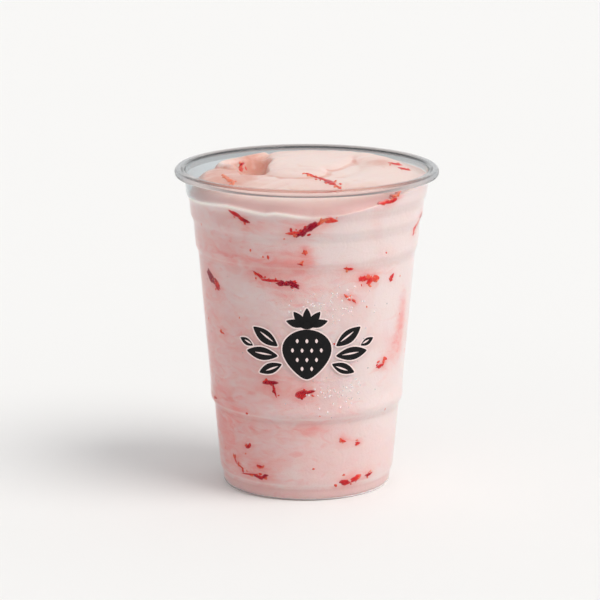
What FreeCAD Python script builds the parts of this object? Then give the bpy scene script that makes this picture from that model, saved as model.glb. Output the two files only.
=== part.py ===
import FreeCAD, Part
import math
import os

# A strawberry milkshake in its clear plastic cup: two solids, the thin cup and the drink that fills it.
# Millimetres and degrees, +Z up. The origin is at the middle of the ring that the cup stands on, and
# -Y is the front. Bearings are counter-clockwise from +X, seen from above.

# Cup
CUP_HEIGHT = 120.0
RIM_RADIUS = 49.0           # outside of the rolled rim
BASE_RADIUS = 31.2          # the wall's outside, carried down to the table
WALL = 0.5

# Rolled rim: the sheet turns outwards and back down
ROLL_WIDTH = 4.0
ROLL_DEPTH = 3.2
ROLL_ROUND = 1.6
ROLL_GAP = 1.1              # between the end of the roll and the wall

# Foot: a flat ring round a raised floor
FOOT_ROUND = 1.3
RING_WIDTH = 2.6            # flat part of the standing ring
RING_FLANK = 1.6            # how far the inner flank leans in
FLOOR_RISE = 4.0
FLOOR_ROUND = 1.0

# Steps that stiffen the wall, each wider than the wall below it by its ledge
FOOT_STEP_HEIGHT = 4.0      # up from the table
GRIP_STEP_HEIGHT = 30.5     # up from the table
BAND_STEP_DEPTH = 31.5      # down from the rim, as the next two
NECK_STEP_DEPTH = 20.0
SHOULDER_STEP_DEPTH = 12.2
FOOT_LEDGE = 1.1
GRIP_LEDGE = 1.5
BAND_LEDGE = 1.0
NECK_LEDGE = 1.1
SHOULDER_LEDGE = 1.1
LEDGE_RISE = 3.0            # height over which a step widens
LEDGE_ROUND = 5.0
GRIP_LAND = 6.0             # upright stretch above the grip step

# Drink: how far below the rim it meets the wall, and how that line rises and falls round the cup
FILL_DEPTH = 7.4
TILT_RISE = 5.2
TILT_BEARING = 55.0
WAVE_RISE = 1.0
WAVE_BEARING = -14.0
WAVE_LOBES = 3

# Drink: the heap inside that line. It is highest in the middle, sags to one side and rounds down
# to the wall over its last few millimetres.
PEAK_DEPTH = 2.4            # below the rim
SAG = 4.0
SAG_BEARING = 240.0
SHOULDER_WIDTH = 6.5
FOLD_BLEND = 0.3            # softness of the creases between folds
GRID_STEP = 1.25

# Folds stand out of the heap and hollows sink into it. Each follows guide points given by bearing
# and share of the mouth's radius, and has a half width and a rise at its two ends. The squareness
# is 2 for a round back and more for a flat one with steep sides.
FOLDS = {
    "tongue": (((95, 0.94), (98, 0.56), (109, 0.24), (215, 0.11)), 12.0, 1.6, 1.7, 6.0),
    "tongue_right": (((70, 0.90), (72, 0.56), (76, 0.27)), 11.0, 1.6, 1.6, 5.0),
    "right_fold": (((55, 0.86), (30, 0.75), (4, 0.67), (-27, 0.60)), 10.0, 1.7, 0.6, 2.5),
    "front_fold": (
        ((170, 0.80), (192, 0.58), (236, 0.42), (299, 0.50), (333, 0.70), (357, 0.84)), 10.0, 1.0, 0.8, 2.0
    ),
    "curled_lip": (((157, 0.68), (152, 0.81), (143, 0.86), (133, 0.82), (115, 0.85)), 2.4, 1.8, 2.0, 2.0),
}
HOLLOWS = {
    "pocket": (((129, 0.64), (148, 0.53), (181, 0.43)), 5.6, 4.0, 5.5, 4.0),
    "pocket_end": (((146, 0.74), (140, 0.66)), 4.4, 2.0, 4.0, 2.0),
}
PATH_POINTS = 8             # points along a fold's curve for each of its guide points
SURFACE_MARGIN = 1.5        # how far past the wall the surface is carried, in shoulder widths


def turn_at(before, corner, after):
    """Unit directions into and out of a corner, and the signed angle between them."""
    way_in = (corner[0] - before[0], corner[1] - before[1])
    way_out = (after[0] - corner[0], after[1] - corner[1])
    length_in = math.hypot(*way_in)
    length_out = math.hypot(*way_out)
    way_in = (way_in[0] / length_in, way_in[1] / length_in)
    way_out = (way_out[0] / length_out, way_out[1] / length_out)
    cross = way_in[0] * way_out[1] - way_in[1] * way_out[0]
    dot = way_in[0] * way_out[0] + way_in[1] * way_out[1]
    return way_in, way_out, math.atan2(cross, dot)


def offset_to_left(corners, distance):
    """The same outline, moved sideways by a sheet's thickness; corners are (radius, height, round)."""
    moved = []
    last = len(corners) - 1
    for index, (radius, height, rounding) in enumerate(corners):
        before = corners[max(index - 1, 0)]
        after = corners[min(index + 1, last)]
        if index == 0:
            before = (2 * radius - after[0], 2 * height - after[1])
        if index == last:
            after = (2 * radius - before[0], 2 * height - before[1])
        way_in, way_out, turn = turn_at(before, (radius, height), after)
        stretch = distance / (1 + math.cos(turn))
        shift_r = -(way_in[1] + way_out[1]) * stretch
        shift_z = (way_in[0] + way_out[0]) * stretch
        side = 1 if turn > 0 else -1
        moved.append((radius + shift_r, height + shift_z, max(rounding - side * distance, 0.0)))
    return moved


def rounded_edges(corners):
    """Straight runs joined by tangent arcs, in the plane of the axis."""
    edges = []
    here = FreeCAD.Vector(corners[0][0], 0, corners[0][1])
    for before, corner, after in zip(corners, corners[1:], corners[2:]):
        way_in, way_out, turn = turn_at(before, corner, after)
        cut_back = corner[2] * math.tan(abs(turn) / 2)
        sagitta = corner[2] / math.cos(turn / 2) - corner[2]
        point = FreeCAD.Vector(corner[0], 0, corner[1])
        heading_in = FreeCAD.Vector(way_in[0], 0, way_in[1])
        heading_out = FreeCAD.Vector(way_out[0], 0, way_out[1])
        arc_start = point - heading_in * cut_back
        arc_end = point + heading_out * cut_back
        if here.distanceToPoint(arc_start) > 1e-6:
            edges.append(Part.LineSegment(here, arc_start).toShape())
        if cut_back > 1e-6:
            inwards = (heading_out - heading_in).normalize()
            edges.append(Part.Arc(arc_start, point + inwards * sagitta, arc_end).toShape())
        here = arc_end
    end = FreeCAD.Vector(corners[-1][0], 0, corners[-1][1])
    edges.append(Part.LineSegment(here, end).toShape())
    return edges


def turned(edges):
    """A solid of revolution from the closed outline that the edges make."""
    face = Part.Face(Part.Wire(Part.__sortEdges__(edges)))
    return face.revolve(FreeCAD.Vector(0, 0, 0), FreeCAD.Vector(0, 0, 1), 360)


def wall_corners():
    """Outside of the wall from the table to the roll, with its even draft between the steps."""
    steps = (
        (FOOT_STEP_HEIGHT, FOOT_LEDGE, 0.0),
        (GRIP_STEP_HEIGHT, GRIP_LEDGE, GRIP_LAND),
        (CUP_HEIGHT - BAND_STEP_DEPTH, BAND_LEDGE, 0.0),
        (CUP_HEIGHT - NECK_STEP_DEPTH, NECK_LEDGE, 0.0),
        (CUP_HEIGHT - SHOULDER_STEP_DEPTH, SHOULDER_LEDGE, 0.0),
    )
    top_height = CUP_HEIGHT - WALL
    top_radius = RIM_RADIUS - ROLL_WIDTH + WALL
    drafted = top_height - sum(LEDGE_RISE + land for height, ledge, land in steps)
    draft = (top_radius - BASE_RADIUS - sum(ledge for height, ledge, land in steps)) / drafted
    corners = [(BASE_RADIUS, 0.0, FOOT_ROUND)]
    for height, ledge, land in steps:
        radius = corners[-1][0] + draft * (height - corners[-1][1])
        corners.append((radius, height, LEDGE_ROUND))
        corners.append((radius + ledge, height + LEDGE_RISE, LEDGE_ROUND))
        if land > 0:
            corners.append((radius + ledge, height + LEDGE_RISE + land, LEDGE_ROUND))
    corners.append((top_radius, top_height, ROLL_ROUND - WALL))
    return corners


def foot_corners():
    """Underside of the floor, from the axis out to the standing ring."""
    ring_inside = BASE_RADIUS - FOOT_ROUND - RING_WIDTH
    return [
        (0.0, FLOOR_RISE, 0.0),
        (ring_inside - RING_FLANK, FLOOR_RISE, FLOOR_ROUND),
        (ring_inside, 0.0, FLOOR_ROUND),
    ]


def roll_corners():
    """The rolled rim beyond the wall: out, down and back towards the wall."""
    outside = RIM_RADIUS - WALL
    underside = CUP_HEIGHT - ROLL_DEPTH + WALL
    return [
        (outside, CUP_HEIGHT - WALL, ROLL_ROUND - WALL),
        (outside, underside, ROLL_ROUND - WALL),
        (RIM_RADIUS - ROLL_WIDTH + WALL + ROLL_GAP, underside, 0.0),
    ]


def make_cup():
    """The thin cup: one sheet turned about the axis."""
    outside = foot_corners() + wall_corners() + roll_corners()
    inside = offset_to_left(outside, WALL)
    ends = [
        Part.LineSegment(FreeCAD.Vector(outside[i][0], 0, outside[i][1]),
                         FreeCAD.Vector(inside[i][0], 0, inside[i][1])).toShape()
        for i in (0, -1)
    ]
    return turned(rounded_edges(outside) + rounded_edges(inside) + ends)


def cavity_corners():
    """Inside of the floor and wall, with the wall carried on straight above the rim."""
    sheet = foot_corners() + wall_corners() + roll_corners()
    inside = offset_to_left(sheet, WALL)[:len(foot_corners() + wall_corners())]
    below, mouth = inside[-2], inside[-1]
    share = (mouth[1] + ROLL_DEPTH - below[1]) / (mouth[1] - below[1])
    inside[-1] = (below[0] + (mouth[0] - below[0]) * share, mouth[1] + ROLL_DEPTH, 0.0)
    return inside


def inside_radius(height):
    """Radius of the cup's inside at a height."""
    corners = cavity_corners()
    for low, high in zip(corners, corners[1:]):
        if low[1] <= height <= high[1] and high[0] > BASE_RADIUS - WALL:
            return low[0] + (high[0] - low[0]) * (height - low[1]) / (high[1] - low[1])
    return corners[-1][0]


def contact_height(bearing):
    """Height at which the drink meets the wall."""
    tilt = TILT_RISE * math.cos(math.radians(bearing - TILT_BEARING))
    wave = WAVE_RISE * math.cos(math.radians(WAVE_LOBES * (bearing - WAVE_BEARING)))
    return CUP_HEIGHT - FILL_DEPTH + tilt + wave


def fold_path(guides):
    """Points along a smooth curve through a fold's guide points."""
    mouth = RIM_RADIUS - ROLL_WIDTH
    places = [
        FreeCAD.Vector(math.cos(math.radians(bearing)), math.sin(math.radians(bearing)), 0) * (mouth * share)
        for bearing, share in guides
    ]
    curve = Part.BSplineCurve()
    curve.interpolate(places)
    return curve.discretize(Number=PATH_POINTS * len(places))


def rise_at(x, y, path, half_width, start_rise, end_rise, squareness):
    """How far one fold stands out at a place, negative beside it."""
    nearest = (math.inf, 0.0)
    for index, (a, b) in enumerate(zip(path, path[1:])):
        run_x, run_y = b.x - a.x, b.y - a.y
        share = ((x - a.x) * run_x + (y - a.y) * run_y) / (run_x ** 2 + run_y ** 2)
        share = min(max(share, 0.0), 1.0)
        gap = math.hypot(x - a.x - run_x * share, y - a.y - run_y * share)
        nearest = min(nearest, (gap, (index + share) / (len(path) - 1)))
    gap, along = nearest
    rise = start_rise + (end_rise - start_rise) * along
    return rise * (1 - (gap / half_width) ** squareness)


def blended_rise(x, y, shapes):
    """Height of the highest shape over a place, or nought, with soft creases where shapes meet."""
    rises = [rise_at(x, y, *shape) for shape in shapes] + [0.0]
    highest = max(rises)
    return highest + FOLD_BLEND * math.log(sum(math.exp((rise - highest) / FOLD_BLEND) for rise in rises))


def heap_height(x, y, folds, hollows):
    """Height of the drink's surface at a place."""
    bearing = math.degrees(math.atan2(y, x))
    contact = contact_height(bearing)
    wall = inside_radius(contact)
    share = math.hypot(x, y) / wall
    sag = SAG * (1 + math.cos(math.radians(bearing - SAG_BEARING))) / 2
    inner = CUP_HEIGHT - PEAK_DEPTH - sag * share ** 2
    inner += blended_rise(x, y, folds) - blended_rise(x, y, hollows)
    past = (share - 1) * wall / SHOULDER_WIDTH + 1
    past = min(max(past, 0.0), SURFACE_MARGIN)
    return contact + (inner - contact) * (1 - past ** 2)


def make_milkshake():
    """The drink: the cup's inside, filled up to the folded surface."""
    mouth = cavity_corners()[-1]
    reach = math.ceil(mouth[0] / GRID_STEP + 1)
    folds = [(fold_path(guides), *sizes) for guides, *sizes in FOLDS.values()]
    hollows = [(fold_path(guides), *sizes) for guides, *sizes in HOLLOWS.values()]
    steps = range(-reach, reach + 1)
    grid = [[heap_height(i * GRID_STEP, j * GRID_STEP, folds, hollows) for j in steps] for i in steps]
    surface = Part.BSplineSurface()
    surface.interpolate(grid, -reach * GRID_STEP, GRID_STEP, -reach * GRID_STEP, GRID_STEP)
    under_surface = surface.toShape().extrude(FreeCAD.Vector(0, 0, -2 * CUP_HEIGHT))
    edges = rounded_edges(cavity_corners())
    floor = cavity_corners()[0]
    top_middle = FreeCAD.Vector(0, 0, mouth[1])
    edges.append(Part.LineSegment(FreeCAD.Vector(mouth[0], 0, mouth[1]), top_middle).toShape())
    edges.append(Part.LineSegment(top_middle, FreeCAD.Vector(0, 0, floor[1])).toShape())
    return turned(edges).common(under_surface).Solids[0]


os.makedirs("parts", exist_ok=True)
for name, shape in (("cup", make_cup()), ("milkshake", make_milkshake())):
    shape.exportStep(f"parts/{name}.step")
    box = shape.BoundBox
    print(f"{name}: {shape.Volume / 1000:.1f} ml, valid {shape.isValid()}, {box.XLength:.1f} x "
          f"{box.YLength:.1f} x {box.ZLength:.1f} mm, top {box.ZMax:.2f}, bottom {box.ZMin:.2f}")
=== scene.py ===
# %% [markdown]
# # A strawberry milkshake in a clear plastic cup
#
# The CAD model holds two solids at their real size: a thin cup and the drink that fills it. This file
# gives them their looks. It keeps every size from the CAD model, makes finer surfaces where light needs
# them, and adds what is too small for CAD: pieces of fruit, fruit pulp, a print and beads of water.
# Lengths are in metres. The cup stands on z = 0, with its front towards -Y.

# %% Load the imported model
import math

import bmesh
import bpy
import numpy as np
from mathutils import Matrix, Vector


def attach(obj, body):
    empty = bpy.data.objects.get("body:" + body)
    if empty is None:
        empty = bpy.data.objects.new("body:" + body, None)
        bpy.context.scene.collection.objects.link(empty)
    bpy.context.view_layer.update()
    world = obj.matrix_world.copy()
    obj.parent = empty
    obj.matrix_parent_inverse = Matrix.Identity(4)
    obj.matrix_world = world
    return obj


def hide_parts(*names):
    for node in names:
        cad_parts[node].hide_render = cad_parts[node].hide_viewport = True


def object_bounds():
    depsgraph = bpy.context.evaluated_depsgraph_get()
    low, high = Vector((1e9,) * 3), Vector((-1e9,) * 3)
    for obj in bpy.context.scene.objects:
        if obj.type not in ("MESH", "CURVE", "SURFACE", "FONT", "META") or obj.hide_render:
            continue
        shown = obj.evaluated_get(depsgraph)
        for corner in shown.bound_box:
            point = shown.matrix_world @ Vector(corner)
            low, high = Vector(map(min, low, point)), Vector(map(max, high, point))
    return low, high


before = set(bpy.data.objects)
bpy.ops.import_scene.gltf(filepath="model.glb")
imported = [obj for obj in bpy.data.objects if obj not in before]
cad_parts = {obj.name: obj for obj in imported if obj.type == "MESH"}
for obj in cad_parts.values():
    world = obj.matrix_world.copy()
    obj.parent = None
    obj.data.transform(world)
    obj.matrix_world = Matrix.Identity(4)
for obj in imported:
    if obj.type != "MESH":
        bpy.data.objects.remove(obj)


MM = 0.001
cad_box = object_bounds()
cup_height = cad_box[1].z
rim_radius = cad_box[1].x
print(f"cup {cup_height / MM:.1f} mm high, rim {2 * rim_radius / MM:.1f} mm across")


# %% [markdown]
# ## The cup's outline, read from the CAD model
#
# A turned cup is fully described by one outline. It could be typed in again here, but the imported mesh
# already holds it: the edges that lie in the plane y = 0 on the +X side are the outline itself, because
# a turned surface has its seam there. Walking along those edges gives the points in order, from under
# the floor, up the outside, round the rolled rim and back down the inside. Nothing can drift from CAD.

# %% Read the outline
def seam_outline(node):
    """Points (radius, height) of a turned node's outline, in order."""
    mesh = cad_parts[node].data
    micron = 1e-6
    places = [(round(v.co.x / micron), round(v.co.z / micron)) for v in mesh.vertices]
    on_seam = [abs(v.co.y) < 0.1 * micron and v.co.x > -micron for v in mesh.vertices]
    neighbours = {}
    for edge in mesh.edges:
        a, b = edge.vertices
        if on_seam[a] and on_seam[b] and places[a] != places[b]:
            neighbours.setdefault(places[a], set()).add(places[b])
            neighbours.setdefault(places[b], set()).add(places[a])
    ends = sorted((place for place in neighbours if len(neighbours[place]) == 1), key=lambda p: p[1])
    walk = [ends[0]]
    while walk[-1] != ends[-1]:
        walk.append(next(p for p in sorted(neighbours[walk[-1]]) if p not in walk[-2:]))
    return np.array(walk) * micron


outline = seam_outline("cup")
top = int(np.argmax(outline[:, 1]))
print(f"outline of {len(outline)} points, sheet {abs(outline[0][1] - outline[-1][1]) / MM:.2f} mm thick")


# %% [markdown]
# Two tables follow from the outline: the radius of the wall's inside and outside at any height. Every
# piece that touches the wall, such as the drink, the fruit, the print and the water beads, asks them.
# The ledges, where the wall steps outwards for stacking, are found on the same table.

# %% Radius of the wall at a height
def wall_table(points):
    """Heights and radii of the wall's straight-up part, sorted by height."""
    ordered = points[np.argsort(points[:, 1])]
    return ordered[:, 1], ordered[:, 0]


WALL_FOOT, ROLL_START = 1.2 * MM, cup_height - 1.6 * MM
LEAST_OUTSIDE, LEAST_INSIDE = 0.6 * rim_radius, 30 * MM
leg = outline[: int(np.argmax(outline[:, 1] > ROLL_START))]
outside_table = wall_table(leg[(leg[:, 1] > WALL_FOOT) & (leg[:, 0] > LEAST_OUTSIDE)])
inner = outline[top:]
inside_table = wall_table(inner[(inner[:, 1] < ROLL_START) & (inner[:, 0] > LEAST_INSIDE)])


def inside_radius(height):
    return np.interp(height, *inside_table)


def outside_radius(height):
    return np.interp(height, *outside_table)


def ledge_heights(least_slope=0.3, beside=4):
    """Heights at which the wall steps outwards, found where its slope is steepest."""
    heights = np.arange(3 * MM, cup_height - 6 * MM, 0.25 * MM)
    slopes = np.gradient(outside_radius(heights), heights)
    ledges = []
    for k in range(1, len(slopes) - 1):
        if slopes[k] > least_slope and slopes[k] == max(slopes[k - beside:k + beside + 1]):
            ledges.append(float(heights[k]))
    return ledges


LEDGES = ledge_heights()
print("ledges at", [round(height / MM, 1) for height in LEDGES], "mm")


# %% [markdown]
# ## Helpers for meshes
#
# Most pieces here are sheets of points in rows. One helper turns arrays of points and faces into a
# smooth-shaded object that rides on the model's only body. The others join rows of points with faces,
# say where points lie round the cup, and store a number at each point, which a finish can read.

# %% Mesh helpers
def new_piece(name, points, faces, material, sharp_angle=None):
    """A smooth mesh object that rides with the cup."""
    mesh = bpy.data.meshes.new(name)
    mesh.from_pydata([tuple(p) for p in points], [], faces)
    mesh.validate()
    mesh.polygons.foreach_set("use_smooth", [True] * len(mesh.polygons))
    if sharp_angle:
        mesh.set_sharp_from_angle(angle=math.radians(sharp_angle))
    piece = bpy.data.objects.new(name, mesh)
    bpy.context.scene.collection.objects.link(piece)
    mesh.materials.append(material)
    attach(piece, "root")
    triangles = sum(len(face) - 2 for face in faces)
    print(f"{name}: {len(points)} points, {triangles} triangles")
    return piece


def ring_faces(rows, spokes, first=0):
    """Quads between neighbouring rows of points that each go once round."""
    faces = []
    for row in range(rows - 1):
        low, high = first + row * spokes, first + (row + 1) * spokes
        for k in range(spokes):
            after = (k + 1) % spokes
            faces.append((low + k, low + after, high + after, high + k))
    return faces


def fan_faces(middle, first, spokes, flip=False):
    """Triangles from one middle point to a row of points."""
    fan = [(middle, first + k, first + (k + 1) % spokes) for k in range(spokes)]
    return [face[::-1] for face in fan] if flip else fan


def joined(shells, faces):
    """All shells' points in one array, and their faces renumbered."""
    all_faces, start = [], 0
    for shell in shells:
        all_faces += [tuple(v + start for v in face) for face in faces]
        start += len(shell)
    return np.vstack(shells), all_faces


# %% Places round the cup
def polar(points):
    """Bearings in degrees, radii and heights of points."""
    x, y, height = points[:, 0], points[:, 1], points[:, 2]
    return np.degrees(np.arctan2(y, x)), np.hypot(x, y), height


def backness(points):
    """-1 for points at the front of the cup, 0 at the sides and 1 at the back."""
    _, radii, _ = polar(points)
    return points[:, 1] / np.maximum(radii, MM)


def bearing_gap(bearings, bearing):
    """Signed angle from one bearing to others, in degrees."""
    return (bearings - bearing + 180) % 360 - 180


def turned(first, second, degrees):
    """Two coordinates after a turn."""
    c, s = math.cos(math.radians(degrees)), math.sin(math.radians(degrees))
    return first * c - second * s, first * s + second * c


def rising(low, value, high):
    """0 up to low, 1 from high on and a straight rise between."""
    return np.clip((value - low) / (high - low), 0, 1)


def paint(piece, name, values):
    """Stores a number at every point, for the finish to read."""
    piece.data.attributes.new(name, "FLOAT", "POINT").data.foreach_set("value", values.astype(np.float32))


# %% [markdown]
# ## Helpers for materials
#
# A finish is a small program drawn as nodes. Written as Python it reads better as sums, so one class
# wraps a node's output: `1 - mask` or `mask * 0.5` then adds the Math node for it. Everything that
# isn't a sum comes from the one method `node`.

# %% A socket that can be added and multiplied
def sums(operation, reflected=False):
    """A method that adds a Math node, with the wire as its first or its second number."""
    def method(wire, other):
        first, second = (other, wire) if reflected else (wire, other)
        return wire.recipe.node("ShaderNodeMath", {"operation": operation}, {0: first, 1: second})
    return method


class Wire:
    """An output socket that can be used in sums."""

    def __init__(self, recipe, socket):
        self.recipe, self.socket = recipe, socket

    __add__, __radd__ = sums("ADD"), sums("ADD", reflected=True)
    __sub__, __rsub__ = sums("SUBTRACT"), sums("SUBTRACT", reflected=True)
    __mul__, __rmul__ = sums("MULTIPLY"), sums("MULTIPLY", reflected=True)


# %% [markdown]
# A recipe holds one material. Besides `node` it has short names for what several finishes share: a
# blend of two colours, a clamp, cloudy noise, level lines and a number stored at the mesh's points.

# %% Nodes of a material
class Recipe:
    """A material and the nodes that make its finish."""

    def __init__(self, name):
        self.material = bpy.data.materials.new(name)
        self.material.use_nodes = True
        self.tree = self.material.node_tree
        self.tree.nodes.clear()

    def node(self, kind, settings=None, sockets=None, output=0):
        """Adds a node: its settings first, then its sockets' values or links. Returns one output."""
        made = self.tree.nodes.new(kind)
        for name, value in (settings or {}).items():
            setattr(made, name, value)
        for name, value in (sockets or {}).items():
            if isinstance(value, Wire):
                self.tree.links.new(value.socket, made.inputs[name])
            else:
                made.inputs[name].default_value = value
        return Wire(self, made.outputs[output]) if made.outputs else None

    def blend(self, share, first, second):
        """A colour between two, by a share from 0 to 1."""
        return self.node("ShaderNodeMix", {"data_type": "RGBA"}, {0: share, 6: first, 7: second}, output=2)

    def clamp(self, low, value, high):
        """0 below low, 1 above high and a smooth rise between."""
        settings = {"interpolation_type": "SMOOTHSTEP"}
        return self.node("ShaderNodeMapRange", settings, {"Value": value, "From Min": low, "From Max": high})

    def noise(self, size, detail=2.0, distortion=0.0, seed=0.0, flat=1.0):
        """Cloudy noise from 0 to 1 whose lumps are about the given size, and lower than wide if flat."""
        place = self.node("ShaderNodeTexCoord", output=3)
        sockets = {0: place, 1: (1, 1, flat), 2: (seed, 2 * seed, seed)}
        moved = self.node("ShaderNodeVectorMath", {"operation": "MULTIPLY_ADD"}, sockets)
        sockets = {"Vector": moved, "Scale": 1 / size, "Detail": detail, "Distortion": distortion}
        return self.node("ShaderNodeTexNoise", None, sockets)

    def height(self):
        """Height above the table, in metres."""
        place = self.node("ShaderNodeTexCoord", output=3)
        return self.node("ShaderNodeSeparateXYZ", None, {0: place}, output=2)

    def lines(self, levels, half_width):
        """1 on thin level lines at the given heights, fading to 0 beside them."""
        height, total = self.height(), 0.0
        for level in levels:
            gap = self.node("ShaderNodeMath", {"operation": "ABSOLUTE"}, {0: height - level})
            total = total + self.clamp(0.0, 1 - gap * (1 / half_width), 1.0)
        return total

    def painted(self, name):
        """A number stored at the mesh's points."""
        return self.node("ShaderNodeAttribute", {"attribute_name": name}, output=2)

    def finish(self, surface):
        self.node("ShaderNodeOutputMaterial", None, {"Surface": surface})
        return self.material

    def finish_clear(self, surface, colour):
        """The surface for every ray but shadow rays, which pass straight through."""
        open_way = self.node("ShaderNodeBsdfTransparent", None, {"Color": colour})
        shadow_ray = self.node("ShaderNodeLightPath", output=1)
        return self.finish(self.node("ShaderNodeMixShader", None, {0: shadow_ray, 1: surface, 2: open_way}))


def colour(red, green, blue):
    return (red, green, blue, 1.0)


# %% [markdown]
# ## Clear plastic
#
# The cup is thin PET sheet: clear, glossy and a little grey where the eye looks along it. A real glass
# shader bends light at both of its faces, which is what draws the dark and bright lines in the rolled
# rim. The drink inside would then be dark, because a path tracer can't aim lamps through bent light,
# so shadow rays pass straight through instead. Such a sheet hardly bends or dims the light anyway.
# The IOR is set below that of plastic: the drink wets the inside, so only the outer face mirrors the
# room, and a full-strength mirror on both faces would lay a white veil over the fruit.
#
# Four zones differ. Against the drink the sheet can't be seen at all. Above the drink it is painted a cool
# grey at the back and sides, a painted reflection of the dim room. In front the roll is painted with a blush
# of the drink behind it, for the pink it shows by refraction. Where the roll's sheet is bent tightest, rings
# of painted shade darken it, as does an outline of painted shade where it turns away from the eye, and a
# fine darker line of painted shade follows each ledge of the wall.

# %% Finish of the cup
CLEAR = colour(0.975, 0.98, 0.985)
DIM_ROOM_REFLECTION = colour(0.66, 0.71, 0.74)
ROLL_REFLECTION_TINT = colour(0.36, 0.375, 0.385)
ROLL_REFRACTED_BLUSH = colour(0.86, 0.70, 0.66)
RING_SHADE_DARK = colour(0.05, 0.052, 0.055)
OUTLINE_SHADE_SHARE, LEDGE_SHADE_SHARE = 0.25, 0.035
LEDGE_DROP, LEDGE_HALF_WIDTH = 1.5 * MM, 0.7 * MM


def clear_plastic():
    sheet = Recipe("clear_plastic")
    turned_away = sheet.node("ShaderNodeLayerWeight", None, {"Blend": 0.5}, output=1)
    # Painted shade: the roll is drawn darker where it turns away from the eye.
    outline_shade = OUTLINE_SHADE_SHARE * sheet.painted("roll") * sheet.clamp(0.7, turned_away, 1.0)
    # Painted shade: a fine darker line just below each ledge of the wall.
    ledge_shade_line = LEDGE_SHADE_SHARE * sheet.lines([ledge - LEDGE_DROP for ledge in LEDGES], LEDGE_HALF_WIDTH)
    # Painted reflection: a cool grey for the dim room that the sheet mirrors above the drink, darker on the
    # roll.
    tint = sheet.blend(sheet.painted("roll"), DIM_ROOM_REFLECTION, ROLL_REFLECTION_TINT)
    # Painted refraction: the front of the roll takes the pink of the drink behind it.
    near = sheet.blend(sheet.painted("roll"), CLEAR, ROLL_REFRACTED_BLUSH)
    wall = sheet.blend(sheet.painted("grey"), near, tint)
    glossy = sheet.node("ShaderNodeBsdfPrincipled", None, {
        # Painted shade: the ring number and the outline darken the roll, and the ledge line darkens the
        # wall.
        "Base Color": sheet.blend(sheet.painted("ring") + outline_shade + ledge_shade_line, wall, RING_SHADE_DARK),
        "Roughness": 0.03,
        "IOR": 1.25,
        "Transmission Weight": 1.0,
    })
    return sheet.finish_clear(glossy, CLEAR)


# %% [markdown]
# ## Line where the drink meets the wall
#
# The drink stands higher at the back than at the front and clings to the wall in two places. Its edge
# line is needed by the cup, which changes below and above it, and by the drink itself.

# %% Contact line
FILL_DEPTH = 7.4 * MM
TILT_RISE, TILT_BEARING = 5.2 * MM, 55.0
WAVE_RISE, WAVE_BEARING, WAVE_LOBES = 1.0 * MM, -14.0, 3
# bearing and extra rise in mm where the drink clings higher to the wall
CLING = (
    (-180, 1.0), (-162, 1.9), (-151, 2.3), (-142, 2.8), (-131, 3.5), (-123, 3.2), (-115, 2.7), (-110, 2.4),
    (-105, 3.1), (-100, 2.8), (-95, 2.2), (-88, 1.4), (-75, 1.4), (-60, 2.0), (-45, 2.6), (-30, 1.8),
    (-10, 0.5), (10, 0), (150, 0), (180, 1.0),
)


def contact_height(bearings):
    """Height at which the drink meets the wall, for bearings in degrees."""
    tilt = TILT_RISE * np.cos(np.radians(bearings - TILT_BEARING))
    wave = WAVE_RISE * np.cos(np.radians(WAVE_LOBES * (bearings - WAVE_BEARING)))
    cling = MM * np.interp(bearing_gap(bearings, 0), *zip(*CLING))
    return cup_height - FILL_DEPTH + tilt + wave + cling


print("drink meets the wall at", [round(contact_height(b) / MM, 1) for b in (-90.0, 0.0, 90.0, 180.0)], "mm")


# %% [markdown]
# ## The cup
#
# The outline is turned about the axis with a Python loop, which is what the Screw modifier does too.
# The loop gives full control of the two points on the axis, so the floor closes without a hole. Points
# are added where the outline has too few for smooth zones. The narrow gap inside the roll is left out,
# because its edge would draw a line that a tightly rolled rim doesn't show. Three numbers at the
# points mark the zones.

# %% Measures of the turned cup
CUP_SPOKES = 256
ROLL_WIDTH, ROLL_DEPTH = 4.0 * MM, 3.2 * MM
ROLL_SHEET, GAP_SIDE, GAP_TOP = 0.9 * MM, 0.35 * MM, 0.45 * MM
ROLL_STEP, WALL_STEP = 0.35 * MM, 2.5 * MM
INNER_RING = (rim_radius - ROLL_WIDTH + 0.4 * MM, cup_height - 0.7 * MM)
INNER_RING_REACH = 0.6 * MM
OUTER_RING_HEIGHT, OUTER_RING_REACH, OUTER_RING_DEPTH = cup_height - 2.0 * MM, 0.45 * MM, 0.9 * MM
OUTER_HALF = 1.5 * MM
print(f"roll {ROLL_WIDTH / MM:.1f} mm wide, {ROLL_DEPTH / MM:.1f} mm deep")


# %% Turn the cup
def turned_points(profile, spokes):
    """Rows of points, one row for each outline point."""
    bearings = np.arange(spokes) * (2 * math.pi / spokes)
    around = np.stack([np.cos(bearings), np.sin(bearings)], axis=1)
    rows = [np.column_stack([around * radius, np.full(spokes, height)]) for radius, height in profile]
    return np.concatenate(rows)


def finer(profile):
    """The profile with points added, so that no step is long, least of all in the roll."""
    steps = [profile[:1]]
    for a, b in zip(profile, profile[1:]):
        longest = ROLL_STEP if b[1] > cup_height - ROLL_DEPTH else WALL_STEP
        count = max(1, math.ceil(math.dist(a, b) / longest))
        steps.append(a + (b - a) * (np.arange(1, count + 1) / count)[:, None])
    return np.concatenate(steps)


def ring_shade_strength(points):
    """The two rings of painted shade in the roll, one at its inner edge behind and one on its skirt in
    front, where the sheet is bent tightest.
    """
    _, radii, heights = polar(points)
    behind = backness(points)
    off_inner = np.hypot(radii - INNER_RING[0], heights - INNER_RING[1]) / INNER_RING_REACH
    off_outer = (heights - OUTER_RING_HEIGHT) / OUTER_RING_REACH
    on_skirt = radii > rim_radius - OUTER_RING_DEPTH
    inner_ring = np.exp(-off_inner**2) * np.clip(0.45 + 0.8 * behind, 0, 0.78)
    outer_ring = 0.4 * on_skirt * np.exp(-off_outer**2) * np.clip(0.35 - 0.8 * behind, 0, 1)
    return inner_ring + outer_ring


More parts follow.
